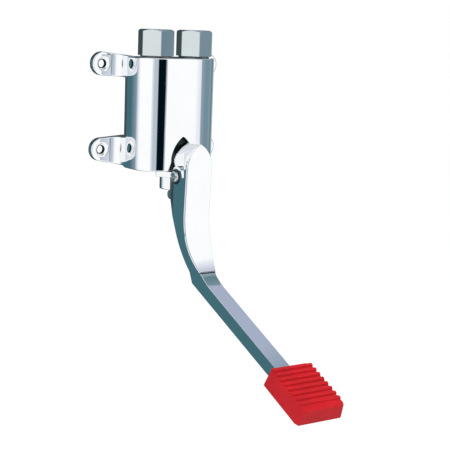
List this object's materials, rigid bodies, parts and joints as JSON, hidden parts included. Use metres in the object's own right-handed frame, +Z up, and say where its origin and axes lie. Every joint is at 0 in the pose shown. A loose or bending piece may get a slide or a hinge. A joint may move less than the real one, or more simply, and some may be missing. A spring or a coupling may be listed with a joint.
{
  "type": "foot pedal tap valve",
  "caption": "Wall-mounted chrome tap valve worked by a foot: a cast body with pipe unions on top and a curved lever below that ends in a ribbed red rubber pad.",
  "frame": {"origin": "middle of the four wall screw holes, on the wall plane at the back of the ears", "axes": "+X to the right as seen from in front, +Y into the wall, +Z up"},
  "size_m": [0.1236, 0.2592, 0.2774],
  "materials": {
    "body_chrome": "polished chrome plate on cast brass",
    "lever_chrome": "polished chrome plate on cast brass",
    "fitting_chrome": "chrome plate on turned brass",
    "inner_brass": "turned brass",
    "spring_steel": "stainless steel",
    "pin_steel": "turned stainless steel",
    "black_rubber": "moulded rubber",
    "red_rubber": "moulded rubber, satin",
    "fibre": "pressed fibre",
    "bush_plastic": "moulded acetal"
  },
  "bodies": {
    "valve": {"valve_body": "body_chrome", "inlet_union": "fitting_chrome", "outlet_union": "fitting_chrome", "inlet_washer": "fibre", "outlet_washer": "fibre", "inlet_strainer": "spring_steel", "seat_ring": "inner_brass", "closing_spring": "spring_steel", "spindle_seal": "black_rubber", "bonnet": "fitting_chrome", "bonnet_washer": "fibre", "return_spring": "spring_steel", "pivot_bush": "bush_plastic", "stop_buffer": "black_rubber"},
    "pedal": {"lever_arm": "lever_chrome", "pivot_pin": "pin_steel", "pin_washers": "pin_steel", "pin_clip": "spring_steel", "foot_pad": "red_rubber"},
    "plunger": {"spindle": "inner_brass", "plunger_cap": "fitting_chrome", "valve_disc": "black_rubber", "disc_holder": "inner_brass", "disc_nut": "inner_brass"}
  },
  "joints": [
    {"name": "pedal_hinge", "type": "hinge", "parent": "valve", "child": "pedal", "pos_m": [0, -0.0645, -0.0535], "axis": [1, 0, 0], "range_deg": [0, 10], "stiffness_Nm_per_rad": 4, "springref_deg": -14.32},
    {"name": "plunger_lift", "type": "slide", "parent": "valve", "child": "plunger", "axis": [0, 0, 1], "range_m": [0, 0.0042], "deforming": ["closing_spring", "return_spring"]}
  ],
  "couplings": [
    {"joint": "plunger_lift", "follows": "pedal_hinge", "m_per_rad": 0.02406}
  ]
}
